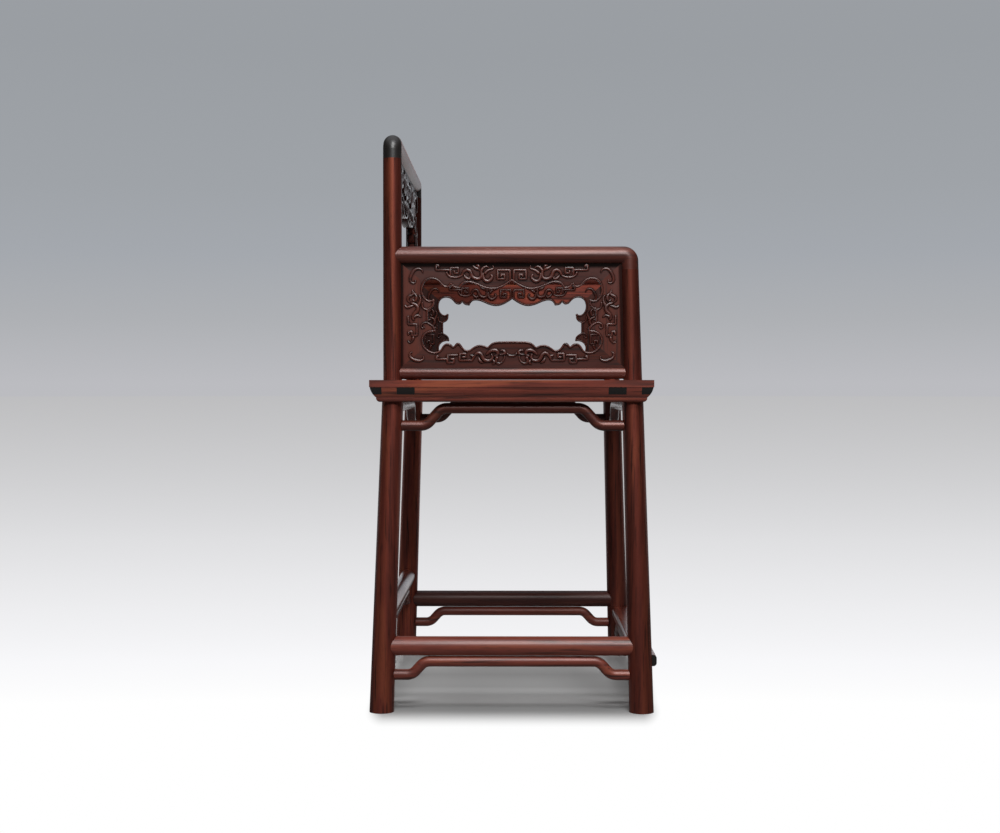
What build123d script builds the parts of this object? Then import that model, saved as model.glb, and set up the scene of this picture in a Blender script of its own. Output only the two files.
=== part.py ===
from build123d import *
import os
from math import cos, radians, sin, tan

# A rose chair: a low-backed armchair of round members around a framed seat, with a panel of
# four carved boards under each arm and in the back. Sizes are in millimetres. X runs across the
# chair, -Y is its front and +Z is up. Left and right are as seen from in front of the chair.

# Overall sizes
seat_width = 580
seat_depth = 420
seat_height = 495
back_height = 861
fit_clearance = 0.12
cut_overrun = 20

# Seat frame: four mitred rails with a moulded edge
seat_rail_width = 72
seat_rail_thickness = 32.5
edge_band_height = 10.5
edge_band_step = 0.8
edge_belly_drop = 26
edge_belly_inset = 9.5
edge_belly_swell = 1.6
edge_bead_inset = 14.5
edge_bead_swell = 1.7

# Through tenons of the front and back seat rails, which show on the sides of the seat
seat_tenon_drop = 10.8
seat_tenon_height = 10.5
seat_tenon_inset = 40.6
seat_tenon_width = 26.4
corner_tenon_width = 18

# Seat panel, floating in a groove, and the two battens that keep it flat
seat_lip = 6
seat_tongue = 7
seat_groove_depth = 10
seat_panel_play = 1
seat_panel_gap = 0.5
seat_panel_drop = 0.8
batten_width = 24
batten_height = 14
batten_spacing = 190
batten_ridge_height = 3
batten_ridge_width = 14
batten_ridge_root = 11
batten_tenon_length = 12
batten_tenon_width = 15
batten_tenon_height = 8

# Legs: each is one stick, thick and splayed under the seat, thinner and upright above it
leg_side_inset = 35.5
rear_leg_inset = 32.2
front_leg_inset = 29.1
leg_top_diameter = 32
leg_foot_diameter = 36.6
neck_diameter = 29
post_diameter = 28
side_splay_angle = 1.5
rear_splay_angle = 2.0
front_splay_angle = 1.6
front_post_lean_angle = 1.7

# Crest rail and arms, turned down at their ends over the posts as pipe joints
crest_diameter = 28
arm_diameter = 26.6
arm_axis_height = 680.8
elbow_radius = 22
elbow_skirt = 8
post_tenon_width = 12
post_tenon_length = 16
post_tenon_root = 10
arm_tenon_width = 8
arm_tenon_height = 12

# Rails just above the seat, at both sides and at the back
low_rail_diameter = 18.2
low_rail_gap = 1.6

# Panels: four mitred boards round a lobed window, housed in the round members
panel_thickness = 11
panel_housing = 4
panel_housing_in_low_rail = 3
mitre_tenon_thickness = 4
mitre_tenon_height = 10
mitre_tenon_length = 9
mitre_tenon_place_share = 0.35
arm_top_board_width = 22.1
arm_bottom_board_width = 21.4
arm_stile_width = 30.4
back_top_board_width = 50
back_bottom_board_width = 46.2
back_stile_width = 37.3

# Stretchers near the floor, stepped in height, and the hump-backed rods
side_stretcher_diameter = 28.6
side_stretcher_height = 98
back_stretcher_diameter = 26
back_stretcher_height = 140
footrest_top_height = 85
footrest_thickness = 17
footrest_front_reach = 25
footrest_rear_reach = 10.5
footrest_rounding = 5
footrest_tenon_width = 13
footrest_tenon_height = 9
hump_diameter = 16
hump_gap_under_seat = 1.5
seat_hump_rise = 26
seat_hump_end_run = 63
low_hump_gap = 0.5
low_hump_rise = 20
low_hump_end_run = 53
hump_bend_radius = 18
hump_slope_angle = 48
tenon_stop = 6
tenon_width_share = 0.36
tenon_height_share = 0.6

# Half of each window's outline, from the middle of its top edge, round by the side, to the middle
# of its bottom edge. Each stretch is one smooth curve, and the cusps lie between stretches. The
# first share is of half the window's length, the second of half its height.
arm_window_shares = [
    [(0, 0.96), (0.08, 0.83), (0.20, 0.727), (0.33, 0.785), (0.46, 0.905), (0.54, 0.885), (0.582, 0.75)],
    [(0.582, 0.75), (0.64, 0.77), (0.678, 0.862)],
    [(0.678, 0.862), (0.705, 0.789), (0.76, 0.80), (0.80, 0.90), (0.87, 1.0), (0.96, 0.955),
     (1.0, 0.70), (0.97, 0.49), (0.92, 0.41), (0.871, 0.439)],
    [(0.871, 0.439), (0.868, 0.335), (0.893, 0.225), (0.938, 0.165)],
    [(0.938, 0.165), (0.938, -0.18)],
    [(0.938, -0.18), (0.895, -0.242), (0.861, -0.347), (0.861, -0.43)],
    [(0.861, -0.43), (0.935, -0.46), (0.985, -0.565), (0.995, -0.72), (0.95, -0.91), (0.87, -1.0),
     (0.80, -0.945), (0.765, -0.82), (0.72, -0.757), (0.652, -0.852)],
    [(0.652, -0.852), (0.591, -0.746), (0.547, -0.873), (0.495, -0.946), (0.42, -0.85),
     (0.345, -0.80), (0.269, -0.862)],
    [(0.269, -0.862), (0.215, -0.745), (0.139, -0.706)],
    [(0.139, -0.706), (0, -0.70)],
]
back_window_shares = [
    [(0, 0.93), (0.07, 0.84), (0.20, 0.775), (0.36, 0.752), (0.50, 0.775), (0.62, 0.86), (0.71, 0.90),
     (0.76, 0.87), (0.778, 0.80)],
    [(0.778, 0.80), (0.812, 0.812), (0.838, 0.868)],
    [(0.838, 0.868), (0.858, 0.825), (0.888, 0.84), (0.91, 0.92), (0.945, 1.0), (0.984, 0.972),
     (1.0, 0.87), (0.984, 0.76), (0.955, 0.712), (0.922, 0.73)],
    [(0.922, 0.73), (0.920, 0.68), (0.934, 0.625), (0.962, 0.595)],
    [(0.962, 0.595), (0.962, -0.58)],
    [(0.962, -0.58), (0.935, -0.62), (0.918, -0.68), (0.918, -0.735)],
    [(0.918, -0.735), (0.96, -0.75), (0.99, -0.81), (0.996, -0.88), (0.97, -0.965), (0.93, -1.0),
     (0.893, -0.965), (0.872, -0.90), (0.845, -0.872), (0.805, -0.92)],
    [(0.805, -0.92), (0.765, -0.872), (0.735, -0.935), (0.70, -0.972), (0.63, -0.93), (0.56, -0.905),
     (0.48, -0.932)],
    [(0.48, -0.932), (0.43, -0.865), (0.35, -0.842)],
    [(0.35, -0.842), (0, -0.838)],
]

# Where the upper and the lower mitres' lines end, inside each window
arm_mitre_shares = ((0.85, 0.62), (0.85, -0.62))
back_mitre_shares = ((0.895, 0.735), (0.885, -0.80))

# Heights and places worked out from the sizes above
seat_underside = seat_height - seat_rail_thickness
leg_x = seat_width / 2 - leg_side_inset
rear_leg_y = seat_depth / 2 - rear_leg_inset
front_leg_y = front_leg_inset - seat_depth / 2
crest_axis_height = back_height - crest_diameter / 2
crest_seam_height = crest_axis_height - crest_diameter / 2 - elbow_skirt
arm_seam_height = arm_axis_height - arm_diameter / 2 - elbow_skirt
low_rail_height = seat_height + low_rail_gap + low_rail_diameter / 2
reach = seat_width + seat_depth
REAR = 1
FRONT = -1


def round_rod(start, end, start_diameter, end_diameter):
    """A straight round rod between two points, which may taper."""
    run = end - start
    place = Plane(origin=start, z_dir=run)
    standing = (Align.CENTER, Align.CENTER, Align.MIN)
    if start_diameter == end_diameter:
        return place * Cylinder(start_diameter / 2, run.length, align=standing)
    return place * Cone(start_diameter / 2, end_diameter / 2, run.length, align=standing)


def block(low, high):
    """A box between two corners."""
    size = high - low
    middle = (low + high) / 2
    return Pos(middle.X, middle.Y, middle.Z) * Box(size.X, size.Y, size.Z)


def slab(low, high):
    """Everything between two heights, wider than the chair."""
    return block(Vector(-reach, -reach, low), Vector(reach, reach, high))


def leg_centre(end, height):
    """The left leg's axis at a height under the seat."""
    drop = seat_underside - height
    splay = rear_splay_angle if end == REAR else front_splay_angle
    leg_y = rear_leg_y if end == REAR else front_leg_y
    out = drop * tan(radians(side_splay_angle))
    along = drop * tan(radians(splay))
    return Vector(-leg_x - out, leg_y + end * along, height)


def leg_diameter(height):
    """A leg's diameter at a height under the seat."""
    return leg_foot_diameter + (leg_top_diameter - leg_foot_diameter) * height / seat_underside


def post_centre(end, height):
    """The left post's axis at a height above the seat."""
    if end == REAR:
        return Vector(-leg_x, rear_leg_y, height)
    rise = height - seat_height
    return Vector(-leg_x, front_leg_y + rise * tan(radians(front_post_lean_angle)), height)


def post_seam(end):
    """The height at which a post meets the rail turned down over it."""
    return crest_seam_height if end == REAR else arm_seam_height


def post_width(end, height):
    """A post's diameter at a height above the seat."""
    top_diameter = crest_diameter if end == REAR else arm_diameter
    share = (height - seat_height) / (post_seam(end) - seat_height)
    return post_diameter + (top_diameter - post_diameter) * share


def lower_leg(end, grow=0):
    """The left leg's splayed part, longer than it needs to be at both ends."""
    low = -cut_overrun
    high = seat_underside + cut_overrun
    start = leg_centre(end, low)
    finish = leg_centre(end, high)
    return round_rod(start, finish, leg_diameter(low) + 2 * grow, leg_diameter(high) + 2 * grow)


def upper_post(end, grow=0):
    """The left leg's post above the seat, longer than it needs to be at both ends."""
    low = seat_height - cut_overrun
    high = post_seam(end) + cut_overrun
    start = post_centre(end, low)
    finish = post_centre(end, high)
    return round_rod(start, finish, post_width(end, low) + 2 * grow, post_width(end, high) + 2 * grow)


def leg_neck(end, grow=0):
    """The upright part of the left leg that passes through the seat frame."""
    low = post_centre(end, seat_height)
    foot = Vector(low.X, low.Y, seat_underside)
    return round_rod(foot, low, neck_diameter + 2 * grow, neck_diameter + 2 * grow)


def post_tenon(end, grow=0):
    """The square tenon on top of the left post, along the post's own axis."""
    seam = post_centre(end, post_seam(end))
    below = post_centre(end, post_seam(end) - post_tenon_root)
    place = Plane(origin=below, x_dir=(1, 0, 0), z_dir=seam - below)
    width = post_tenon_width + 2 * grow
    length = post_tenon_root + post_tenon_length + grow
    return place * Box(width, width, length, align=(Align.CENTER, Align.CENTER, Align.MIN))


def both_sides(piece):
    """A piece on the left with its mirror image on the right."""
    return piece + mirror(piece, about=Plane.YZ)


def elbow(diameter, turn):
    """The bend of a pipe joint: it arrives along +X and turns down. Its inner corner is the origin."""
    centreline = elbow_radius - diameter / 2
    disc = Plane.YZ * (Pos(0, centreline) * Circle(diameter / 2))
    upper_half = Plane.YZ * Rectangle(reach, reach, align=(Align.CENTER, Align.MIN))
    return revolve(disc & upper_half, Axis.Y, turn)


def tenon_bar(first, last, width, height, grow=0):
    """A bar along X or Y between two leg axes, whose two ends are the tenons of a rail."""
    run = last - first
    along = run.normalized()
    across = Vector(along.Y, along.X, 0)
    near = first + along * (tenon_stop - grow)
    far = last - along * (tenon_stop - grow)
    half = across * (width / 2 + grow) + Vector(0, 0, height / 2 + grow)
    ends = [near - half, near + half, far - half, far + half]
    low = Vector(min(p.X for p in ends), min(p.Y for p in ends), min(p.Z for p in ends))
    high = Vector(max(p.X for p in ends), max(p.Y for p in ends), max(p.Z for p in ends))
    return block(low, high)


def rod_tenons(first, last, diameter, grow=0):
    """The tenons of a round rail of the given diameter."""
    return tenon_bar(first, last, diameter * tenon_width_share, diameter * tenon_height_share, grow)


def side_line(height):
    """The two ends of a rail on the left, on the legs' axes."""
    return leg_centre(FRONT, height), leg_centre(REAR, height)


def cross_line(end, height):
    """The two ends of a rail across the front or the back, on the legs' axes."""
    left = leg_centre(end, height)
    return left, Vector(-left.X, left.Y, left.Z)


# Heights of the hump-backed rods' ends, from what each rod's middle lies under
footrest_underside = footrest_top_height - footrest_thickness
seat_hump_height = seat_underside - hump_gap_under_seat - hump_diameter / 2 - seat_hump_rise
side_hump_top = side_stretcher_height - side_stretcher_diameter / 2 - low_hump_gap
side_hump_height = side_hump_top - hump_diameter / 2 - low_hump_rise
back_hump_top = back_stretcher_height - back_stretcher_diameter / 2 - low_hump_gap
back_hump_height = back_hump_top - hump_diameter / 2 - low_hump_rise
front_hump_top = footrest_underside - low_hump_gap
front_hump_height = front_hump_top - hump_diameter / 2 - low_hump_rise


def hump_sweep(first, last, rise, end_run):
    """A round rod that runs low at both ends and humps up in the middle, by two soft bends a side."""
    run = last - first
    along = run.normalized()
    length = run.length
    half_slope = rise / tan(radians(hump_slope_angle)) / 2
    corners = [
        (0, 0),
        (end_run - half_slope, 0),
        (end_run + half_slope, rise),
        (length - end_run - half_slope, rise),
        (length - end_run + half_slope, 0),
        (length, 0),
    ]
    upright = Plane(origin=first, x_dir=along, z_dir=along.cross(Vector(0, 0, 1)))
    path = upright * FilletPolyline(*corners, radius=hump_bend_radius)
    section = Plane(origin=first, z_dir=along) * Circle(hump_diameter / 2)
    return sweep(section, path=path)


def hump_rod(first, last, rise, end_run, legs):
    """A hump-backed rod, coped round the legs at its ends and tenoned into them."""
    rod = hump_sweep(first, last, rise, end_run)
    middle = (first + last) / 2
    along = (last - first).normalized()
    half = (last - first).length / 2 - end_run + rise / tan(radians(hump_slope_angle)) / 2
    inner = along * half + Vector(abs(along.Y), abs(along.X), 0) * reach + Vector(0, 0, reach)
    centre_zone = block(middle - inner, middle + inner)
    tenons = rod_tenons(first, last, hump_diameter) - centre_zone
    return rod - legs + tenons


def straight_rail(first, last, diameter, legs):
    """A straight round rail, coped round the legs at its ends and tenoned into them."""
    return round_rod(first, last, diameter, diameter) - legs + rod_tenons(first, last, diameter)


# Rails near the floor and the rods under them and under the seat
both_lower_legs = lower_leg(REAR, fit_clearance) + lower_leg(FRONT, fit_clearance)
rear_lower_legs = both_sides(lower_leg(REAR, fit_clearance))
front_lower_legs = both_sides(lower_leg(FRONT, fit_clearance))

side_stretcher_line = side_line(side_stretcher_height)
back_stretcher_line = cross_line(REAR, back_stretcher_height)
side_stretcher = straight_rail(*side_stretcher_line, side_stretcher_diameter, both_lower_legs)
back_stretcher = straight_rail(*back_stretcher_line, back_stretcher_diameter, rear_lower_legs)

seat_hump_side = hump_rod(*side_line(seat_hump_height), seat_hump_rise, seat_hump_end_run, both_lower_legs)
seat_hump_back = hump_rod(
    *cross_line(REAR, seat_hump_height), seat_hump_rise, seat_hump_end_run, rear_lower_legs
)
seat_hump_front = hump_rod(
    *cross_line(FRONT, seat_hump_height), seat_hump_rise, seat_hump_end_run, front_lower_legs
)
low_hump_side = hump_rod(*side_line(side_hump_height), low_hump_rise, low_hump_end_run, both_lower_legs)
low_hump_back = hump_rod(
    *cross_line(REAR, back_hump_height), low_hump_rise, low_hump_end_run, rear_lower_legs
)
low_hump_front = hump_rod(
    *cross_line(FRONT, front_hump_height), low_hump_rise, low_hump_end_run, front_lower_legs
)


# Footrest: a flat tread whose front edge stands proud of the front legs
def footrest_tenons(grow=0):
    middle_height = footrest_top_height - footrest_thickness / 2
    first, last = cross_line(FRONT, middle_height)
    return tenon_bar(first, last, footrest_tenon_width, footrest_tenon_height, grow)


def make_footrest():
    left = leg_centre(FRONT, footrest_top_height - footrest_thickness / 2)
    low = Vector(left.X, left.Y - footrest_front_reach, footrest_underside)
    high = Vector(-left.X, left.Y + footrest_rear_reach, footrest_top_height)
    tread = block(low, high)
    tread = fillet(tread.edges().filter_by(Axis.X), footrest_rounding)
    return tread - front_lower_legs + footrest_tenons()


footrest = make_footrest()


# Seat frame: a slab with a moulded edge all round, cut into four mitred rails
half_width = seat_width / 2
half_depth = seat_depth / 2
inner_width = half_width - seat_rail_width
inner_depth = half_depth - seat_rail_width


def edge_section(width):
    """The seat's upright section: a band, a belly below it and a small bead at the underside."""
    half = width / 2
    band_low = seat_height - edge_band_height
    belly_low = seat_height - edge_belly_drop
    step = (half - edge_band_step, band_low)
    belly = (half - edge_belly_inset, belly_low)
    bead = (half - edge_bead_inset, seat_underside)
    outline = Polyline((0, seat_height), (half, seat_height), (half, band_low), step)
    outline += SagittaArc(step, belly, edge_belly_swell)
    outline += SagittaArc(belly, bead, edge_bead_swell)
    outline += Line(bead, (0, seat_underside))
    outline += mirror(outline, about=Plane.YZ)
    return make_face(outline.edges())


def moulded_slab():
    """The whole frame's block, moulded on all four edges."""
    along_y = extrude(Plane.XZ * edge_section(seat_width), half_depth, both=True)
    along_x = extrude(Plane.YZ * edge_section(seat_depth), half_width, both=True)
    return along_y & along_x


def plan_prism(*corners):
    """An upright prism through the seat's thickness, from its corners in plan."""
    plan = make_face(Polyline(*corners, close=True))
    return extrude(Plane.XY.offset(seat_underside) * plan, seat_rail_thickness)


def seat_tenons(end, grow=0):
    """The main and corner tenons of the front or back seat rail, running out through both sides."""
    high = seat_height - seat_tenon_drop + grow
    low = seat_height - seat_tenon_drop - seat_tenon_height - grow
    edge = end * half_depth

    def left_bar(near, far, root):
        first = Vector(-half_width - grow, min(near, far), low)
        last = Vector(-root, max(near, far), high)
        return block(first, last)

    main_near = edge - end * (seat_tenon_inset - grow)
    main_far = edge - end * (seat_tenon_inset + seat_tenon_width + grow)
    main_bar = left_bar(main_near, main_far, inner_width)
    corner_near = edge + end * grow
    corner_far = edge - end * (corner_tenon_width + grow)
    corner_bar = left_bar(corner_near, corner_far, half_width - corner_tenon_width)
    return both_sides(main_bar + corner_bar)


def seat_groove():
    """The groove round the seat's opening, as the plate that would fill it."""
    out_x = inner_width + seat_groove_depth
    out_y = inner_depth + seat_groove_depth
    high = seat_height - seat_lip + fit_clearance
    low = seat_height - seat_lip - seat_tongue - fit_clearance
    return block(Vector(-out_x, -out_y, low), Vector(out_x, out_y, high))


def leg_holes():
    """The four round holes that the legs' necks pass through, with clearance."""
    return both_sides(leg_neck(REAR, fit_clearance) + leg_neck(FRONT, fit_clearance))


def make_seat_cross_rail(end):
    """The front or back rail of the seat, which carries the through tenons."""
    outer_y = end * half_depth
    inner_y = end * inner_depth
    mitred = plan_prism(
        (-half_width, outer_y), (half_width, outer_y), (inner_width, inner_y), (-inner_width, inner_y)
    )
    rail = (mitred + seat_tenons(end)) & moulded_slab()
    return rail - leg_holes() - seat_groove() - batten_tenons(fit_clearance)


def make_seat_side_rail():
    """The left rail of the seat, mortised right through for the tenons."""
    mitred = plan_prism(
        (-half_width, -half_depth), (-inner_width, -inner_depth),
        (-inner_width, inner_depth), (-half_width, half_depth),
    )
    rail = mitred & moulded_slab()
    rail -= seat_tenons(FRONT, fit_clearance)
    rail -= seat_tenons(REAR, fit_clearance)
    return rail - leg_holes() - seat_groove()


# Seat panel and its battens
panel_underside = seat_height - seat_lip - seat_tongue


def batten_places():
    return (-batten_spacing / 2, batten_spacing / 2)


def batten_tenons(grow=0):
    """The stub tenons of both battens, as bars that run from rail to rail."""
    middle = panel_underside - batten_height / 2
    out_y = inner_depth + batten_tenon_length + grow
    half = batten_tenon_width / 2 + grow
    half_height = batten_tenon_height / 2 + grow
    left, right = (
        block(Vector(x - half, -out_y, middle - half_height), Vector(x + half, out_y, middle + half_height))
        for x in batten_places()
    )
    return left + right


def batten_ridge(x, grow=0):
    """The dovetailed ridge on a batten's top, which holds the panel flat."""
    root = batten_ridge_root / 2 + grow
    tip = batten_ridge_width / 2 + grow
    low = panel_underside - grow
    high = panel_underside + batten_ridge_height + grow
    section = make_face(
        Polyline((x - root, low), (x + root, low), (x + tip, high), (x - tip, high), close=True)
    )
    return extrude(Plane.XZ * section, inner_depth - seat_panel_gap, both=True)


def make_batten(x):
    half = batten_width / 2
    out_y = inner_depth - fit_clearance
    low = Vector(x - half, -out_y, panel_underside - batten_height)
    high = Vector(x + half, out_y, panel_underside)
    wide = block(low - Vector(0, reach, 0), high + Vector(0, reach, 0))
    return block(low, high) + (batten_tenons() & wide) + batten_ridge(x)


def make_seat_panel():
    field_x = inner_width - seat_panel_gap
    field_y = inner_depth - seat_panel_gap
    tongue_x = inner_width + seat_groove_depth - seat_panel_play
    tongue_y = inner_depth + seat_groove_depth - seat_panel_play
    top = seat_height - seat_panel_drop
    field = block(Vector(-field_x, -field_y, panel_underside), Vector(field_x, field_y, top))
    tongue_top = seat_height - seat_lip
    tongue = block(
        Vector(-tongue_x, -tongue_y, panel_underside), Vector(tongue_x, tongue_y, tongue_top)
    )
    panel = field + tongue
    for x in batten_places():
        panel -= batten_ridge(x, fit_clearance)
    return panel


# Panels of four boards. A panel is drawn flat, with its length along the first axis and its
# height along the second, and stood up on its own plane.
def window_face(half_length, half_height, stretches):
    """A lobed window, from the shares of half its outline."""
    outline = Curve()
    for stretch in stretches:
        corners = [(-u * half_length, v * half_height) for u, v in stretch]
        outline += Line(*corners) if len(corners) == 2 else Spline(*corners)
    outline += mirror(outline, about=Plane.YZ)
    return make_face(outline.edges())


def cut_boards(plane, near_low, near_high, far_low, far_high, half_size, centre, window, mitre_shares):
    """The boards of one panel: bottom, top, near and far. Near is at the lower first coordinate."""
    opening = extrude(plane * (Pos(*centre) * window), panel_thickness, both=True)
    (high_u, high_v), (low_u, low_v) = (
        (half_size[0] * u, half_size[1] * v) for u, v in mitre_shares
    )
    near_low_end = (centre[0] - low_u, centre[1] + low_v)
    near_high_end = (centre[0] - high_u, centre[1] + high_v)
    far_low_end = (centre[0] + low_u, centre[1] + low_v)
    far_high_end = (centre[0] + high_u, centre[1] + high_v)

    def board(*corners):
        face = plane * make_face(Polyline(*corners, close=True))
        return extrude(face, panel_thickness / 2, both=True) - opening

    def key(corner, end, grow=0):
        """The stub tenon that crosses one mitre, level with the boards' grain."""
        u = corner[0] + (end[0] - corner[0]) * mitre_tenon_place_share
        v = corner[1] + (end[1] - corner[1]) * mitre_tenon_place_share
        length = 2 * mitre_tenon_length + mitre_tenon_height + 2 * grow
        shape = Pos(u, v) * Rectangle(length, mitre_tenon_height + 2 * grow)
        return extrude(plane * shape, mitre_tenon_thickness / 2 + grow, both=True)

    top = board(near_high, near_high_end, far_high_end, far_high)
    bottom = board(near_low, near_low_end, far_low_end, far_low)
    near = board(near_low, near_low_end, near_high_end, near_high)
    far = board(far_low, far_low_end, far_high_end, far_high)
    top += key(near_high, near_high_end) + key(far_high, far_high_end)
    bottom += key(near_low, near_low_end) + key(far_low, far_low_end)
    near -= key(near_high, near_high_end, fit_clearance) + key(near_low, near_low_end, fit_clearance)
    far -= key(far_high, far_high_end, fit_clearance) + key(far_low, far_low_end, fit_clearance)
    return bottom, top, near, far


def housing(plane, near_low, near_high, far_low, far_high):
    """The space that a panel takes in the members round it, with clearance."""
    grow = fit_clearance
    outline = make_face(Polyline(
        (near_low[0] - grow, near_low[1] - grow), (far_low[0] + grow, far_low[1] - grow),
        (far_high[0] + grow, far_high[1] + grow), (near_high[0] - grow, near_high[1] + grow),
        close=True,
    ))
    return extrude(plane * outline, panel_thickness / 2 + grow, both=True)


def post_inner_face(end, height):
    """The Y of a post's face towards the middle of the chair."""
    return post_centre(end, height).Y - end * post_width(end, height) / 2


# Panel under the left arm
arm_panel_plane = Plane(origin=(-leg_x, 0, 0), x_dir=(0, 1, 0), z_dir=(1, 0, 0))
low_rail_top = low_rail_height + low_rail_diameter / 2
arm_underside = arm_axis_height - arm_diameter / 2
arm_panel_low = low_rail_top - panel_housing_in_low_rail
arm_panel_high = arm_underside + panel_housing
arm_panel_corners = (
    (post_inner_face(FRONT, arm_panel_low) - panel_housing, arm_panel_low),
    (post_inner_face(FRONT, arm_panel_high) - panel_housing, arm_panel_high),
    (post_inner_face(REAR, arm_panel_low) + panel_housing, arm_panel_low),
    (post_inner_face(REAR, arm_panel_high) + panel_housing, arm_panel_high),
)
arm_window_low = low_rail_top + arm_bottom_board_width
arm_window_high = arm_underside - arm_top_board_width
arm_window_mid = (arm_window_low + arm_window_high) / 2
arm_window_front = post_inner_face(FRONT, arm_window_mid) + arm_stile_width
arm_window_rear = post_inner_face(REAR, arm_window_mid) - arm_stile_width
arm_window_half_size = (
    (arm_window_rear - arm_window_front) / 2,
    (arm_window_high - arm_window_low) / 2,
)
arm_window_centre = ((arm_window_rear + arm_window_front) / 2, arm_window_mid)
arm_window = window_face(*arm_window_half_size, arm_window_shares)
arm_housing = housing(arm_panel_plane, *arm_panel_corners)
arm_boards = cut_boards(
    arm_panel_plane, *arm_panel_corners, arm_window_half_size, arm_window_centre, arm_window,
    arm_mitre_shares,
)

# Panel in the back
back_panel_plane = Plane(origin=(0, rear_leg_y, 0), x_dir=(1, 0, 0), z_dir=(0, -1, 0))
crest_underside = crest_axis_height - crest_diameter / 2
back_panel_high = crest_underside + panel_housing
back_panel_half = leg_x - crest_diameter / 2 + panel_housing
back_panel_corners = (
    (-back_panel_half, arm_panel_low),
    (-back_panel_half, back_panel_high),
    (back_panel_half, arm_panel_low),
    (back_panel_half, back_panel_high),
)
back_window_low = low_rail_top + back_bottom_board_width
back_window_high = crest_underside - back_top_board_width
back_window_half_size = (
    leg_x - crest_diameter / 2 - back_stile_width,
    (back_window_high - back_window_low) / 2,
)
back_window_centre = (0, (back_window_low + back_window_high) / 2)
back_window = window_face(*back_window_half_size, back_window_shares)
back_housing = housing(back_panel_plane, *back_panel_corners)
back_boards = cut_boards(
    back_panel_plane, *back_panel_corners, back_window_half_size, back_window_centre, back_window,
    back_mitre_shares,
)


# Rails just above the seat
side_low_rail_line = (post_centre(FRONT, low_rail_height), post_centre(REAR, low_rail_height))
back_low_rail_line = (
    post_centre(REAR, low_rail_height),
    Vector(leg_x, rear_leg_y, low_rail_height),
)
side_posts = upper_post(REAR, fit_clearance) + upper_post(FRONT, fit_clearance)
rear_posts = both_sides(upper_post(REAR, fit_clearance))
side_low_rail = straight_rail(*side_low_rail_line, low_rail_diameter, side_posts) - arm_housing
back_low_rail = straight_rail(*back_low_rail_line, low_rail_diameter, rear_posts) - back_housing


# Arm: level, coped round the back post and turned down over the front post
def arm_tenon(grow=0):
    """The arm's tenon into the back post."""
    post = post_centre(REAR, arm_axis_height)
    half_width = arm_tenon_width / 2 + grow
    half_height = arm_tenon_height / 2 + grow
    low = Vector(post.X - half_width, post.Y - post_diameter, post.Z - half_height)
    high = Vector(post.X + half_width, post.Y - tenon_stop + grow, post.Z + half_height)
    return block(low, high)


def make_arm():
    centreline = elbow_radius - arm_diameter / 2
    turn = 90 - front_post_lean_angle
    down_height = arm_axis_height - centreline + centreline * cos(radians(turn))
    down = post_centre(FRONT, down_height)
    corner = Vector(-leg_x, down.Y + centreline * sin(radians(turn)), arm_axis_height - centreline)
    bend = Pos(corner.X, corner.Y, corner.Z) * (Rot(0, 0, -90) * elbow(arm_diameter, turn))
    below = post_centre(FRONT, arm_seam_height - cut_overrun)
    skirt = round_rod(below, down, arm_diameter, arm_diameter) & slab(arm_seam_height, back_height)
    start = Vector(-leg_x, corner.Y, arm_axis_height)
    finish = post_centre(REAR, arm_axis_height)
    rod = round_rod(start, finish, arm_diameter, arm_diameter) - upper_post(REAR, fit_clearance)
    arm = rod + bend + skirt + arm_tenon()
    return arm - post_tenon(FRONT, fit_clearance) - arm_housing - back_housing


# Crest rail: level, turned down at both ends over the back posts
def make_crest():
    centreline = elbow_radius - crest_diameter / 2
    corner_x = leg_x - centreline
    corner_z = crest_axis_height - centreline
    bend = Pos(corner_x, rear_leg_y, corner_z) * elbow(crest_diameter, 90)
    seam = Vector(leg_x, rear_leg_y, crest_seam_height)
    skirt = round_rod(seam, Vector(leg_x, rear_leg_y, corner_z), crest_diameter, crest_diameter)
    start = Vector(-corner_x, rear_leg_y, crest_axis_height)
    finish = Vector(corner_x, rear_leg_y, crest_axis_height)
    rod = round_rod(start, finish, crest_diameter, crest_diameter)
    crest = rod + both_sides(bend + skirt)
    return crest - both_sides(post_tenon(REAR, fit_clearance)) - back_housing


# Legs, each mortised for the rails that it carries
def make_leg(end):
    foot = lower_leg(end) & slab(0, seat_underside)
    post = upper_post(end) & slab(seat_height, post_seam(end))
    leg = foot + leg_neck(end) + post + post_tenon(end)
    leg -= rod_tenons(*side_line(seat_hump_height), hump_diameter, fit_clearance)
    leg -= rod_tenons(*cross_line(end, seat_hump_height), hump_diameter, fit_clearance)
    leg -= rod_tenons(*side_stretcher_line, side_stretcher_diameter, fit_clearance)
    leg -= rod_tenons(*side_line(side_hump_height), hump_diameter, fit_clearance)
    leg -= rod_tenons(*side_low_rail_line, low_rail_diameter, fit_clearance)
    leg -= arm_housing
    if end == FRONT:
        leg -= rod_tenons(*cross_line(FRONT, front_hump_height), hump_diameter, fit_clearance)
        return leg - footrest_tenons(fit_clearance)
    leg -= rod_tenons(*cross_line(REAR, back_hump_height), hump_diameter, fit_clearance)
    leg -= rod_tenons(*back_stretcher_line, back_stretcher_diameter, fit_clearance)
    leg -= rod_tenons(*back_low_rail_line, low_rail_diameter, fit_clearance)
    return leg - arm_tenon(fit_clearance) - back_housing


rear_leg = make_leg(REAR)
front_leg = make_leg(FRONT)
seat_side_rail = make_seat_side_rail()
arm = make_arm()

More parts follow.
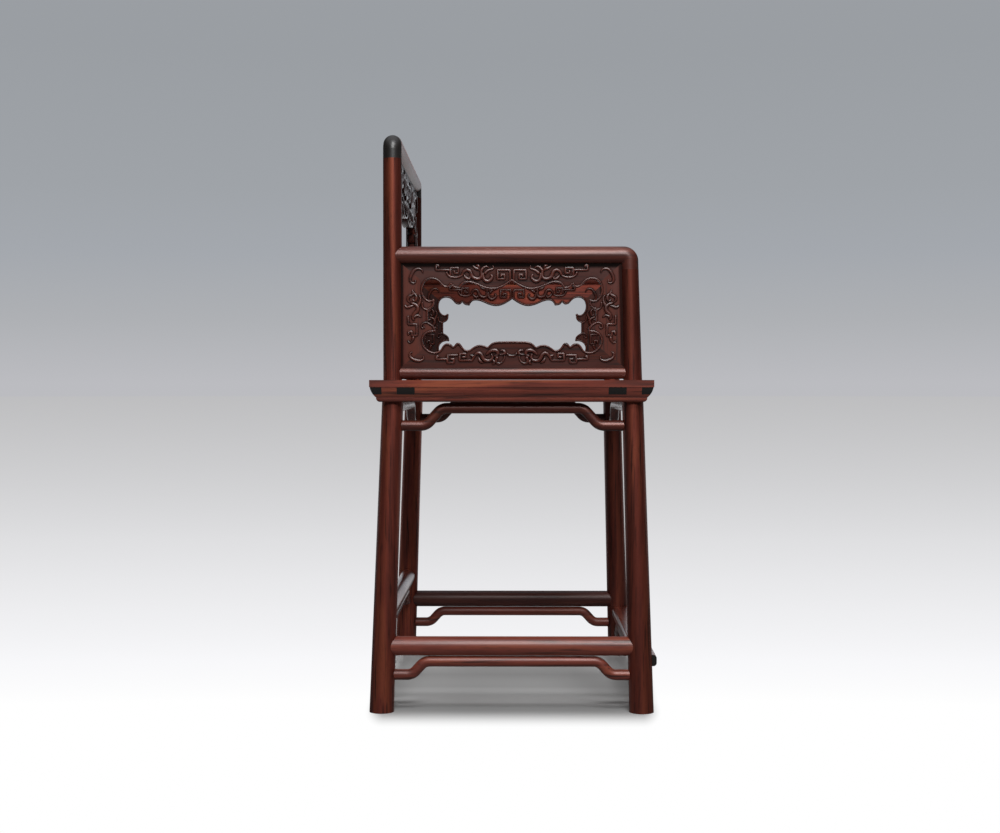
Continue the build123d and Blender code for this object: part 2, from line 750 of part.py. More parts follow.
# Pieces on the left, each with its mirror image on the right
pairs = {
    "rear_leg": rear_leg,
    "front_leg": front_leg,
    "arm_rail": arm,
    "arm_lower_rail": side_low_rail,
    "arm_panel_bottom": arm_boards[0],
    "arm_panel_top": arm_boards[1],
    "arm_panel_front": arm_boards[2],
    "arm_panel_rear": arm_boards[3],
    "seat_rail": seat_side_rail,
    "seat_hump_rod": seat_hump_side,
    "side_stretcher": side_stretcher,
    "lower_hump_rod": low_hump_side,
}
pieces = {
    "crest_rail": make_crest(),
    "back_lower_rail": back_low_rail,
    "back_panel_bottom": back_boards[0],
    "back_panel_top": back_boards[1],
    "back_panel_left": back_boards[2],
    "back_panel_right": back_boards[3],
    "seat_rail_front": make_seat_cross_rail(FRONT),
    "seat_rail_back": make_seat_cross_rail(REAR),
    "seat_panel": make_seat_panel(),
    "seat_batten_left": make_batten(batten_places()[0]),
    "seat_batten_right": make_batten(batten_places()[1]),
    "seat_hump_rod_front": seat_hump_front,
    "seat_hump_rod_back": seat_hump_back,
    "footrest": footrest,
    "back_stretcher": back_stretcher,
    "lower_hump_rod_front": low_hump_front,
    "lower_hump_rod_back": low_hump_back,
}
for name, piece in pairs.items():
    pieces[name + "_left"] = piece
    pieces[name + "_right"] = mirror(piece, about=Plane.YZ)

# The footrest reaches further forward than the feet reach back, so the chair is moved along Y
# until the middle of the space that it takes is over the origin
extents = [piece.bounding_box() for piece in pieces.values()]
front_limit = min(box.min.Y for box in extents)
rear_limit = max(box.max.Y for box in extents)
centred = Pos(0, -(front_limit + rear_limit) / 2, 0)

os.makedirs("parts", exist_ok=True)
for name, piece in pieces.items():
    export_step(centred * piece, "parts/" + name + ".step")
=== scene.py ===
# A rose chair: a low-backed armchair of round rosewood members, with carved boards under its arms
# and in its back. Everything is in metres. X runs across the chair, -Y is its front, +Z is up.
import math

import bmesh
import bpy
import numpy as np
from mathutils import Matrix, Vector


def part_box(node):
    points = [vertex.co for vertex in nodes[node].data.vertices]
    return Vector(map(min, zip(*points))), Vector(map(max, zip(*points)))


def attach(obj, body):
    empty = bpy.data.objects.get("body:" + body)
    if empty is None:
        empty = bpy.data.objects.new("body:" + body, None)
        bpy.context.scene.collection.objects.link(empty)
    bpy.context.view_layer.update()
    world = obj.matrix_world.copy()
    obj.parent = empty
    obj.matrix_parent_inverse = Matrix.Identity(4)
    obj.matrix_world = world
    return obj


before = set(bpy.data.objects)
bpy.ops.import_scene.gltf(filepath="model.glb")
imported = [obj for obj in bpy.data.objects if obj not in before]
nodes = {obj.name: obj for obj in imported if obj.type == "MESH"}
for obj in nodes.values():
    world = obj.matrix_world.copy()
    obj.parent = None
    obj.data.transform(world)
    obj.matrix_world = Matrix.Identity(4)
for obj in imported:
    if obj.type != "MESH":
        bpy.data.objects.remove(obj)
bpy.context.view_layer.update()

# Legs: four sticks of heavy rosewood, each cut in one length and turned round, thick and splayed
# under the seat and slimmer above it. They are scraped smooth, waxed and polished.
MM = 0.001
GRAIN = {"X": (1, 0, 0), "Y": (0, 1, 0), "Z": (0, 0, 1)}
RED = (0.130, 0.0270, 0.0170)
BROWN = (0.066, 0.0155, 0.0110)
ORANGE = (0.20, 0.050, 0.024)
DARK_STREAK = (0.017, 0.0085, 0.0075, 1)
OPEN_PORE = (0.012, 0.006, 0.005, 1)
END_GRAIN = (0.0125, 0.0105, 0.0098, 1)
# Painted shade: the colour the wood is darkened to in recesses and under a painted shade, and its wax's
# shine there
PAINTED_SHADE = (0.005, 0.004, 0.0038, 1)
PAINTED_SHADE_SHINE = (0, 0, 0, 1)
# How far round itself a recess is felt for its painted shade, and how open it is where that painted
# shade is darkest and where it ends
PAINTED_SHADE_REACHES = ((4 * MM, 0.58, 0.96), (14 * MM, 0.45, 0.78))
PAINTED_SHADE_SAMPLES = 8
PORE_BUMP = {"Strength": 0.12, "Distance": 0.2 * MM}
WAX_ROUGHNESS = 0.28
PLAIN_SPECULAR = 0.5


def feed(tree, node, inputs):
    """Each input of a node gets a value, or the output of another node."""
    for socket, value in inputs.items():
        if isinstance(value, bpy.types.NodeSocket):
            tree.links.new(value, node.inputs[socket])
        else:
            node.inputs[socket].default_value = value


def add_node(tree, kind, inputs, **settings):
    """A new shader node of one kind, with its settings and inputs."""
    node = tree.nodes.new("ShaderNode" + kind)
    for key, value in settings.items():
        setattr(node, key, value)
    feed(tree, node, inputs)
    return node


def work_out(tree, kind, operation, *terms):
    """The outputs of a sum on numbers or on vectors."""
    return add_node(tree, kind, dict(enumerate(terms)), operation=operation).outputs


def add_range(tree, value, start, end, low=0.0, high=1.0, bend="SMOOTHSTEP"):
    """A value that goes from low to high while another one goes from start to end."""
    node = add_node(tree, "MapRange", {
        "Value": value, "From Min": start, "From Max": end, "To Min": low, "To Max": high,
    }, interpolation_type=bend)
    return node.outputs["Result"]


def add_ramp(tree, value, stops):
    """Colours that follow each other along a value. Each stop is its place and its colour."""
    node = add_node(tree, "ValToRGB", {"Fac": value})
    elements = node.color_ramp.elements
    while len(elements) < len(stops):
        elements.new(0.5)
    for element, (position, colour) in zip(elements, stops):
        element.position = position
        element.color = (*colour, 1)
    return node.outputs["Color"]


def add_mix(tree, share, first, second):
    """A blend of two colours."""
    return add_node(tree, "Mix", {0: share, 6: first, 7: second}, data_type="RGBA").outputs[2]


def rosewood(name, grain, offset, tone=1.0, warmth=0.5, dark_ends=(0.80, 0.93), crevice_painted_shade=0.0,
             painted_shades=(), lustre=0.0, gloss=(0.24, 0.33), polish=0.5):
    """Waxed rosewood whose grain runs along one axis. Dark heartwood streaks lie in red-brown wood,
    and the pores are open at the ends of the grain, where the wood is nearly black. Painted shade
    darkens the wood and dulls its wax in recesses and creases. A painted shade is the way in which the
    wood darkens, the places where that starts and ends, and how dark it gets."""
    wood = bpy.data.materials.new(name)
    wood.use_nodes = True
    tree = wood.node_tree
    place = add_node(tree, "TexCoord", {})
    moved = add_node(tree, "Mapping", {"Vector": place.outputs["Object"], "Location": offset})

    def noise(stretch, scale, detail, roughness, distortion=0.0):
        """Noise that is drawn out along the grain."""
        squeeze = tuple(1 / stretch if axis else 1.0 for axis in GRAIN[grain])
        drawn = work_out(tree, "VectorMath", "MULTIPLY", moved.outputs["Vector"], squeeze)
        node = add_node(tree, "TexNoise", {
            "Vector": drawn["Vector"], "Scale": scale, "Detail": detail, "Roughness": roughness,
            "Distortion": distortion,
        })
        return node.outputs["Fac"]

    def along(what, direction):
        """How far the place or the normal of a spot goes in one direction."""
        return work_out(tree, "VectorMath", "DOT_PRODUCT", place.outputs[what], direction)["Value"]

    red, brown, orange = (tuple(channel * tone for channel in hue) for hue in (RED, BROWN, ORANGE))
    warm = tuple(r + (o - r) * warmth for r, o in zip(red, orange))
    figure = noise(stretch=16, scale=70, detail=4, roughness=0.55, distortion=0.6)
    colour = add_ramp(tree, figure, ((0.30, brown), (0.48, red), (0.62, warm), (0.78, red)))
    fine_figure = noise(stretch=30, scale=210, detail=3, roughness=0.6, distortion=0.3)
    streaks = add_range(tree, fine_figure, 0.52, 0.68, high=0.75)
    specks = noise(stretch=26, scale=1500, detail=2, roughness=0.5)
    pores = add_range(tree, specks, 0.60, 0.72, high=0.55)
    facing = work_out(tree, "Math", "ABSOLUTE", along("Normal", GRAIN[grain]))[0]
    cut_across = add_range(tree, facing, *dark_ends)
    for share, dark in ((streaks, DARK_STREAK), (pores, OPEN_PORE), (cut_across, END_GRAIN)):
        colour = add_mix(tree, share, colour, dark)

    # Painted shade: ambient occlusion darkens recesses and creases and dulls their wax, and each painted
    # shade darkens the wood along its own direction
    painted_shade_masks = []
    if crevice_painted_shade:
        for reach, closed, wide_open in PAINTED_SHADE_REACHES:
            node = add_node(tree, "AmbientOcclusion", {"Distance": reach}, samples=PAINTED_SHADE_SAMPLES)
            painted_shade_masks.append(add_range(tree, node.outputs["AO"], closed, wide_open, crevice_painted_shade, 0))
    for direction, start, end, depth in painted_shades:
        painted_shade_masks.append(add_range(tree, along("Object", direction), start, end, high=depth))
    shine = (polish, polish, polish, 1)
    for painted_shade_mask in painted_shade_masks:
        colour = add_mix(tree, painted_shade_mask, colour, PAINTED_SHADE)
        shine = add_mix(tree, painted_shade_mask, shine, PAINTED_SHADE_SHINE)

    handled = noise(stretch=6, scale=40, detail=2, roughness=0.5)
    bump = add_node(tree, "Bump", {"Height": pores, **PORE_BUMP}, invert=True)
    feed(tree, tree.nodes["Principled BSDF"], {
        "Base Color": colour,
        "Metallic": lustre,
        "Roughness": add_range(tree, handled, 0.3, 0.7, *gloss),
        "Specular IOR Level": shine if painted_shade_masks else PLAIN_SPECULAR,
        "Coat Weight": shine if painted_shade_masks else polish,
        "Coat Roughness": WAX_ROUGHNESS,
        "Normal": bump.outputs["Normal"],
    })
    return wood


def finish_in(node, wood):
    """A member gets its wood on every face."""
    mesh = nodes[node].data
    mesh.materials.clear()
    mesh.materials.append(wood)


# Painted shade and light: the posts are painted darker above the seat, the far one much darker, and each
# leg's tone is set for how light falls on it
far_post_painted_shade = ((0, 0, 1), 470 * MM, 700 * MM, 0.85)
near_post_painted_shade = ((0, 0, 1), 480 * MM, 600 * MM, 0.32)
leg_looks_with_painted_shade = {
    "rear_leg_left": {"tone": 1.7, "warmth": 0.7, "painted_shades": (near_post_painted_shade,)},
    "rear_leg_right": {"tone": 2.6, "warmth": 0.7, "painted_shades": (far_post_painted_shade,)},
    "front_leg_left": {"tone": 1.42, "painted_shades": (near_post_painted_shade,)},
    "front_leg_right": {"tone": 1.4, "painted_shades": (near_post_painted_shade,)},
}
for count, (leg, look) in enumerate(leg_looks_with_painted_shade.items()):
    offset = (0.31 * count, 0.17 * count, 0.9 * count)
    finish_in(leg, rosewood(
        leg + "_wood", "Z", offset, lustre=0.8, gloss=(0.50, 0.56), polish=0.4, **look))

# Stretchers, footrest and hump-backed rods: round or flat bars that run from leg to leg, each
# tenoned into the legs' faces. The rods' middles nearly touch what they lie under.
plain_look = {"tone": 0.85, "lustre": 0.4, "polish": 0.4}
# Painted light and shade: the near stretcher and the lower hump rods are painted lighter, as if lit from
# the floor, and the far stretcher darker and duller, as if in shade
low_bar_looks_with_painted_light = {
    "side_stretcher_left": {"tone": 1.6, "lustre": 0.05, "polish": 0.42},
    "side_stretcher_right": {"tone": 0.6, "lustre": 0.1, "polish": 0.15},
    "lower_hump_rod_left": {"tone": 1.6, "lustre": 0.15, "polish": 0.3},
    "lower_hump_rod_right": {"tone": 1.5, "lustre": 0.1, "polish": 0.15},
}


def finish_side_rails(rails, first, looks):
    """The bars that run from front to back, a left and a right one of each."""
    for count, rail in enumerate(rails, first):
        for side, shift in (("_left", 0.0), ("_right", 0.43)):
            look = looks.get(rail + side, plain_look)
            offset = (0.23 * count + shift, 0.6 * count, 0.1)
            finish_in(rail + side, rosewood(
                rail + side + "_wood", "Y", offset, gloss=(0.44, 0.50), **look))


def finish_cross_rails(rails, first):
    """The bars that run from side to side."""
    for count, rail in enumerate(rails, first):
        finish_in(rail, rosewood(rail + "_wood", "X", (0.7 * count, 0.19 * count, 0.3)))


finish_side_rails(("side_stretcher", "lower_hump_rod", "seat_hump_rod"), 0, low_bar_looks_with_painted_light)
finish_cross_rails((
    "back_stretcher", "footrest", "lower_hump_rod_back", "lower_hump_rod_front",
    "seat_hump_rod_back", "seat_hump_rod_front",
), 0)

# Seat: four mitred rails with a moulded edge, tenoned together, round a board that floats in their
# groove. Two battens dovetailed across its underside keep it flat. The wood is a shade redder.
for count, rail in enumerate(("seat_rail_left", "seat_rail_right")):
    finish_in(rail, rosewood(rail + "_wood", "Y", (0.37 * count, 0.2, 0.4), tone=1.6, warmth=0.9))
for count, rail in enumerate(("seat_rail_front", "seat_rail_back")):
    offset = (0.2, 0.37 * count, 0.4)
    finish_in(rail, rosewood(
        rail + "_wood", "X", offset, tone=1.35, warmth=0.9, dark_ends=(0.3, 0.5)))
finish_in("seat_panel", rosewood("seat_panel_wood", "X", (0.3, 0.1, 0.7), warmth=0.7))
for batten in ("seat_batten_left", "seat_batten_right"):
    finish_in(batten, rosewood(batten + "_wood", "Y", (0.6, 0.1, 0.7), tone=0.9, warmth=0.4))

# Low rails, arms and crest rail: round bars between the posts. The low ones run just above the
# seat. The arms and the crest rail turn down over the posts' ends, where dark end grain shows.
near_arm_look = {"tone": 0.72, "lustre": 0.4, "polish": 0.5}
finish_side_rails(("arm_lower_rail", "arm_rail"), 3, {"arm_rail_left": near_arm_look})
finish_cross_rails(("back_lower_rail",), 6)
finish_in("crest_rail", rosewood(
    "crest_rail_wood", "X", (0.2, 0.5, 0.8), dark_ends=(0.05, 0.25), gloss=(0.40, 0.46), polish=0.35))

# Boards of the panels: four thin boards each, mitred and stub-tenoned at the corners round an open
# window. Their outer edges sit in housings in the round members. A painted shadow lies under each arm,
# and painted shade lies beside the posts, towards the back and on the far panel's inner face. The far
# panel's top board has a painted light on its inner face.
painted_shadow_under_arm = ((0, 0, 1), 659.5 * MM, 665 * MM, 0.97)
painted_shade_beside_front_post = ((0, -0.99956, 0.02967), 174.8 * MM, 178 * MM, 0.8)
painted_shade_beside_rear_post = ((0, 1, 0), 162 * MM, 165 * MM, 0.8)
painted_shade_towards_back = ((0, 1, 0), -60 * MM, 140 * MM, 0.7)
painted_shade_on_inner_face = ((-1, 0, 0), -256 * MM, -252 * MM, 0.55)
painted_shade_on_outer_face = ((1, 0, 0), 252 * MM, 256 * MM, 0.65)
arm_board_looks = {
    "arm_panel_top_left": {"grain": "Y", "tone": 0.45, "warmth": 0.2, "painted_shades": (painted_shadow_under_arm,)},
    "arm_panel_bottom_left": {"grain": "Y", "tone": 0.5, "warmth": 0.2},
    "arm_panel_front_left": {
        "grain": "Z", "tone": 0.72, "warmth": 0.2, "painted_shades": (painted_shade_beside_front_post,)},
    "arm_panel_rear_left": {
        "grain": "Z", "tone": 0.75, "warmth": 0.3, "painted_shades": (painted_shade_beside_rear_post,)},
    # Painted light: this board is painted bright and orange, as if lit, and its outer face is painted
    # dark again
    "arm_panel_top_right": {
        "grain": "Y", "tone": 1.95, "warmth": 1.0, "polish": 0.15,
        "painted_shades": (painted_shade_towards_back, painted_shade_on_outer_face)},
    "arm_panel_bottom_right": {"grain": "Y", "tone": 0.75, "warmth": 0.3, "painted_shades": (painted_shade_on_inner_face,)},
    "arm_panel_front_right": {
        "grain": "Z", "tone": 0.85, "warmth": 0.3, "painted_shades": (painted_shade_beside_front_post, painted_shade_on_inner_face)},
    "arm_panel_rear_right": {
        "grain": "Z", "tone": 0.5, "warmth": 0.3, "painted_shades": (painted_shade_beside_rear_post, painted_shade_on_inner_face)},
}
for count, (board, look) in enumerate(arm_board_looks.items()):
    finish_in(board, rosewood(
        board + "_wood", offset=(0.3 * count, 0.2, 0.1), crevice_painted_shade=0.94, **look))
# Painted shade: the back's boards are painted dark and nearly matt, the level ones darkest
level_look = {"grain": "X", "tone": 0.34, "polish": 0.05}
upright_look = {"grain": "Z", "tone": 0.6, "polish": 0.2}
back_board_looks = {
    "back_panel_top": level_look, "back_panel_bottom": level_look,
    "back_panel_left": upright_look, "back_panel_right": upright_look,
}
for count, (board, look) in enumerate(back_board_looks.items()):
    finish_in(board, rosewood(
        board + "_wood", offset=(0.3 * count, 0.2, 0.1), warmth=0.2, crevice_painted_shade=0.97,
        gloss=(0.26, 0.34), **look))

# Carved relief of the arm panels: frets, scrolls and young dragons that the carver leaves standing
# on both faces of every board when the ground is cut back, with a rounded bead along the window.
# The design is drawn for one half of a panel, from its middle outwards, on the carver's grid.
GRID = 1.495 * MM
SECTION = ((-1, -0.3), (-0.96, 0.45), (-0.74, 0.88), (0, 1), (0.74, 0.88), (0.96, 0.45), (1, -0.3))
END_RINGS = ((0.95, 0.30), (0.72, 0.68), (0.38, 0.92))
BEAD_INSET = 0.9 * MM
CORNER_REACH = 0.55
CORNER_PULL = 0.29


def smooth_curve(points, per_span=6):
    """Points along the natural cubic curve through a few."""
    points = np.array(points, float)
    knots = np.concatenate(([0], np.cumsum(np.linalg.norm(np.diff(points, axis=0), axis=1))))
    gaps = np.diff(knots)
    count = len(points)
    system = np.eye(count)
    pull = np.zeros(points.shape)
    for i in range(1, count - 1):
        system[i, i - 1:i + 2] = gaps[i - 1], 2 * (gaps[i - 1] + gaps[i]), gaps[i]
        slopes = np.diff(points[i - 1:i + 2], axis=0) / gaps[i - 1:i + 1, None]
        pull[i] = 6 * (slopes[1] - slopes[0])
    bend = np.linalg.solve(system, pull)
    track = [points[0]]
    for i, gap in enumerate(gaps):
        for t in np.linspace(0, 1, per_span + 1)[1:]:
            s = 1 - t
            straight = s * points[i] + t * points[i + 1]
            track.append(straight + gap ** 2 / 6 * ((s ** 3 - s) * bend[i] + (t ** 3 - t) * bend[i + 1]))
    return np.array(track)


def square_line(points):
    """The points of a fret, with each corner a little rounded."""
    points = np.array(points, float)
    track = [points[0]]
    for before, here, after in zip(points, points[1:], points[2:]):
        back = (before - here) / np.linalg.norm(before - here) * CORNER_REACH
        ahead = (after - here) / np.linalg.norm(after - here) * CORNER_REACH
        track += [here + back, here + (back + ahead) * CORNER_PULL, here + ahead]
    track.append(points[-1])
    return np.array(track)


def directions(track):
    """The way ahead at each point of a track."""
    ahead = np.gradient(track, axis=0)
    return ahead / np.linalg.norm(ahead, axis=1)[:, None]


def ridge(track, half_widths, heights):
    """A rounded ridge along a track: its points (across the grid, up the grid, out) and its faces."""
    ahead = directions(track)
    rings = []

    def add_ring(at, reach, share):
        middle = track[at] + ahead[at] * reach * half_widths[at]
        side = np.array((-ahead[at][1], ahead[at][0]))
        width = half_widths[at] * share
        height = heights[at] * share
        rings.append([(*(middle + side * s * width), h * height) for s, h in SECTION])

    for reach, share in END_RINGS:
        add_ring(0, -reach, share)
    for at in range(len(track)):
        add_ring(at, 0, 1)
    for reach, share in reversed(END_RINGS):
        add_ring(-1, reach, share)
    size = len(SECTION)
    faces = []
    for ring in range(len(rings) - 1):
        for k in range(size):
            a = ring * size + k
            b = ring * size + (k + 1) % size
            faces.append((a, b, b + size, a + size))
    faces.append(tuple(range(size - 1, -1, -1)))
    last = (len(rings) - 1) * size
    faces.append(tuple(range(last, last + size)))
    return np.array(rings).reshape(-1, 3), faces


def stroke(width, height, swell=(0, 0), taper=(0, 0)):
    """How the half width and the height of a stroke run along it, in grid steps. It may swell in
    its middle or taper towards its end."""
    def profile(t):
        middle = np.sin(math.pi * t)
        return width + swell[0] * middle - taper[0] * t, height + swell[1] * middle - taper[1] * t

    return profile


even = stroke(1.15, 1.15)
swelling = stroke(1.15, 1.3, swell=(0.75, 0.35))
tapering = stroke(1.7, 1.4, taper=(1.05, 0.55))
leaf = stroke(0.55, 0.9, swell=(1.0, 0.5))
beaded = stroke(0.92, 1.1)

# The design, in grid steps across and up from the middle of the panel
TOP_BAND = (
    (square_line, even, [(73.0, 48.4), (73.0, 50.2), (75.6, 50.2), (75.6, 45.4), (61.4, 45.4)]),
    (square_line, even, [
        (61.4, 40.0), (61.4, 47.6), (53.2, 47.6), (53.2, 42.2), (57.4, 42.2), (57.4, 44.4)]),
    (smooth_curve, even, [(64.8, 43.0), (63.3, 40.2), (60.6, 38.7), (52.5, 38.7), (49.6, 40.2)]),
    (smooth_curve, swelling, [
        (49.6, 40.2), (47.7, 44.0), (44.3, 45.6), (41.2, 43.6), (39.6, 39.2), (36.4, 37.0),
        (32.6, 36.8), (30.3, 39.4), (30.4, 43.0), (29.6, 46.4)]),
    (smooth_curve, leaf, [(47.4, 40.4), (45.2, 37.4), (42.2, 36.7), (41.7, 39.2)]),
    (smooth_curve, leaf, [(38.6, 49.6), (36.4, 47.4), (33.6, 46.4), (31.4, 44.4)]),
    (smooth_curve, tapering, [(30.4, 45.0), (28.4, 47.6), (24.8, 48.8), (22.8, 47.4)]),
    (smooth_curve, leaf, [(35.6, 50.2), (33.2, 49.2), (32.0, 47.4)]),
    (smooth_curve, tapering, [
        (26.6, 42.4), (24.0, 44.8), (20.8, 46.0), (18.2, 47.2), (18.8, 49.4)]),
    (smooth_curve, swelling, [
        (28.8, 42.0), (28.4, 38.2), (26.8, 35.2), (24.2, 34.2), (21.4, 35.6), (19.6, 38.6),
        (20.6, 40.4)]),
    (square_line, even, [
        (1.75, 35.6), (1.75, 45.4), (14.4, 45.4), (14.4, 36.4), (7.2, 36.4), (7.2, 41.0),
        (10.8, 41.0), (10.8, 39.2)]),
)
BOTTOM_BAND = (
    (square_line, even, [(73.4, -40.6), (75.4, -40.6), (75.4, -43.4), (65.0, -43.4)]),
    (square_line, even, [
        (54.4, -39.4), (64.4, -39.4), (64.4, -46.8), (57.8, -46.8), (57.8, -43.2), (60.8, -43.2)]),
    (square_line, even, [
        (49.0, -41.4), (46.0, -41.4), (46.0, -37.8), (52.2, -37.8), (52.2, -44.6), (39.4, -44.6),
        (37.8, -40.0), (41.0, -39.6)]),
    (smooth_curve, swelling, [
        (38.6, -42.6), (36.4, -38.9), (33.3, -37.1), (30.2, -38.9), (28.6, -42.4), (25.5, -44.8),
        (21.6, -44.4), (19.3, -41.7), (20.2, -38.6)]),
    (smooth_curve, leaf, [(33.0, -41.8), (31.6, -45.0), (28.4, -47.0)]),
    (smooth_curve, swelling, [
        (25.0, -38.6), (21.6, -35.4), (17.7, -34.4), (14.4, -35.6), (14.2, -38.6), (17.0, -40.0)]),
    (smooth_curve, leaf, [(11.6, -34.6), (8.2, -34.8), (6.6, -36.8), (9.4, -38.6), (12.6, -38.4)]),
    (smooth_curve, tapering, [
        (14.8, -42.0), (15.8, -45.6), (13.6, -47.6), (10.2, -46.4), (7.8, -43.2), (7.2, -40.2)]),
    (smooth_curve, leaf, [(18.8, -43.8), (17.6, -46.6), (19.6, -48.4)]),
    (smooth_curve, even, [(4.6, -37.8), (2.8, -39.6), (0.0, -39.8)]),
)
STILE_DRAGON = (
    (smooth_curve, leaf, [
        (99.2, 25.6), (98.2, 22.4), (99.8, 20.2), (102.6, 19.0), (103.6, 15.6), (101.2, 13.0)]),
    (smooth_curve, leaf, [(97.6, 22.6), (95.5, 20.0), (95.2, 16.8), (96.9, 14.6), (98.8, 16.2)]),
    (smooth_curve, tapering, [(93.2, 10.4), (91.8, 13.2), (90.9, 16.8), (92.2, 20.0)]),
    (smooth_curve, leaf, [(106.6, 10.6), (104.7, 8.3), (101.5, 9.0), (97.8, 10.2)]),
    (smooth_curve, swelling, [
        (99.8, 12.4), (95.9, 11.0), (93.6, 7.6), (94.6, 4.4), (97.4, 1.6), (98.8, -1.4),
        (97.8, -4.2)]),
    (smooth_curve, tapering, [(97.3, -1.1), (93.7, 0.3), (90.6, -1.4)]),
    (square_line, even, [
        (103.4, -0.8), (103.2, -8.6), (94.6, -8.6), (94.6, -19.8), (99.6, -19.8), (99.6, -15.8),
        (103.2, -15.8), (103.2, -18.6)]),
    (smooth_curve, tapering, [(98.4, -22.0), (99.8, -25.6), (102.0, -26.8), (103.8, -24.8)]),
)
CORNER_SCROLLS = (
    (smooth_curve, leaf, [
        (88.7, 42.8), (89.8, 45.6), (93.0, 46.8), (96.6, 45.8), (99.2, 42.4), (100.8, 39.0),
        (101.3, 35.4), (99.2, 32.6), (96.2, 33.0), (96.0, 35.0)]),
    (smooth_curve, leaf, [
        (99.4, -36.2), (101.4, -37.4), (101.5, -40.4), (99.0, -43.0), (94.9, -44.6),
        (90.8, -44.6), (88.0, -42.6), (88.4, -40.4)]),
)
WINDOW_CURLS = (
    (smooth_curve, beaded, [(84.3, 6.0), (87.6, 7.0), (89.3, 9.6), (89.4, 12.8)]),
    (smooth_curve, beaded, [
        (84.0, -6.8), (87.0, -7.0), (89.8, -8.8), (90.4, -11.0), (88.8, -12.5), (87.2, -11.2)]),
)
# The window's edge in smooth stretches, as shares of its half width and half height
ARM_WINDOW_SHARES = (
    [(0, 0.96), (0.08, 0.83), (0.20, 0.727), (0.33, 0.785), (0.46, 0.905), (0.54, 0.885), (0.582, 0.75)],
    [(0.582, 0.75), (0.64, 0.77), (0.678, 0.862)],
    [(0.678, 0.862), (0.705, 0.789), (0.76, 0.80), (0.80, 0.90), (0.87, 1.0), (0.96, 0.955),
     (1.0, 0.70), (0.97, 0.49), (0.92, 0.41), (0.871, 0.439)],
    [(0.871, 0.439), (0.868, 0.335), (0.893, 0.225), (0.938, 0.165)],
    [(0.938, 0.165), (0.938, -0.18)],
    [(0.938, -0.18), (0.895, -0.242), (0.861, -0.347), (0.861, -0.43)],
    [(0.861, -0.43), (0.935, -0.46), (0.985, -0.565), (0.995, -0.72), (0.95, -0.91), (0.87, -1.0),
     (0.80, -0.945), (0.765, -0.82), (0.72, -0.757), (0.652, -0.852)],
    [(0.652, -0.852), (0.591, -0.746), (0.547, -0.873), (0.495, -0.946), (0.42, -0.85),
     (0.345, -0.80), (0.269, -0.862)],
    [(0.269, -0.862), (0.215, -0.745), (0.139, -0.706)],
    [(0.139, -0.706), (0, -0.70)],
)


class Relief:
    """The ridges of one panel's carving, gathered into one mesh."""

    def __init__(self, place):
        self.place = place
        self.points = []
        self.faces = []

    def add(self, points, faces):
        """One ridge on both faces and both halves of the panel."""
        for half in (-1, 1):
            for face in (-1, 1):
                start = len(self.points)
                self.points += [self.place(half * a, b, face, out) for a, b, out in points]
                self.faces += [tuple(start + k for k in corners) for corners in faces]

    def strokes(self, drawing, scale=1.0, shift=(0, 0), depth=1.0, upright=1):
        """A drawing on the grid, cut at its own size or larger, or turned upside down."""
        for line, profile, points in drawing:
            track = line(points)
            reach = np.linalg.norm(np.diff(track, axis=0), axis=1)
            t = np.concatenate(([0], np.cumsum(reach))) / reach.sum()
            widths, heights = profile(t)
            moved = (track * (scale, scale * upright) + shift) * GRID
            self.add(*ridge(moved, widths * scale * GRID, heights * depth * GRID))

    def bead(self, window_shares, half_size, depth=1.0):
        """The bead along the window's edge, a little in from it."""
        for stretch in window_shares:
            track = smooth_curve(np.array(stretch) * half_size, per_span=8)
            ahead = directions(track)
            away = np.stack((ahead[:, 1], -ahead[:, 0]), axis=1)
            widths, heights = beaded(np.zeros(len(track)))
            self.add(*ridge(track - away * BEAD_INSET, widths * GRID, heights * depth * GRID))

    def make(self, name, wood):
        """The carving as one piece with its wood."""
        mesh = bpy.data.meshes.new(name)
        mesh.from_pydata(self.points, [], self.faces)
        shells = bmesh.new()
        shells.from_mesh(mesh)
        bmesh.ops.recalc_face_normals(shells, faces=shells.faces)
        shells.to_mesh(mesh)
        shells.free()
        mesh.materials.append(wood)
        for polygon in mesh.polygons:
            polygon.use_smooth = True
        piece = bpy.data.objects.new(name, mesh)
        bpy.context.scene.collection.objects.link(piece)
        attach(piece, "root")


ARM_WINDOW_MIDDLE = (1.876 * MM, 590.8 * MM)
ARM_WINDOW_HALF = np.array((133.732, 54.6)) * MM
arm_carving_looks_with_painted_shade = {
    "_left": {"tone": 0.66, "polish": 0.45},
    # Painted shade: the far panel's carving is painted darker and duller than the near one's
    "_right": {"tone": 0.4, "polish": 0.2},
}
for side, look in arm_carving_looks_with_painted_shade.items():
    low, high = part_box("arm_panel_top" + side)

    def on_arm_panel(a, b, face, out):
        """A spot of the carving, by its place on the panel and how far it stands out of a face."""
        x = low.x - out if face < 0 else high.x + out
        return (x, ARM_WINDOW_MIDDLE[0] + a, ARM_WINDOW_MIDDLE[1] + b)

    relief = Relief(on_arm_panel)
    for drawing in (TOP_BAND, BOTTOM_BAND, STILE_DRAGON, CORNER_SCROLLS, WINDOW_CURLS):
        relief.strokes(drawing)
    relief.bead(ARM_WINDOW_SHARES, ARM_WINDOW_HALF)
    relief.make("arm_panel_carving" + side, rosewood(
        "arm_carving_wood" + side, "Y", (0.5, 0.2, 0.1), warmth=0.25, crevice_painted_shade=0.94,
        gloss=(0.32, 0.40), **look))

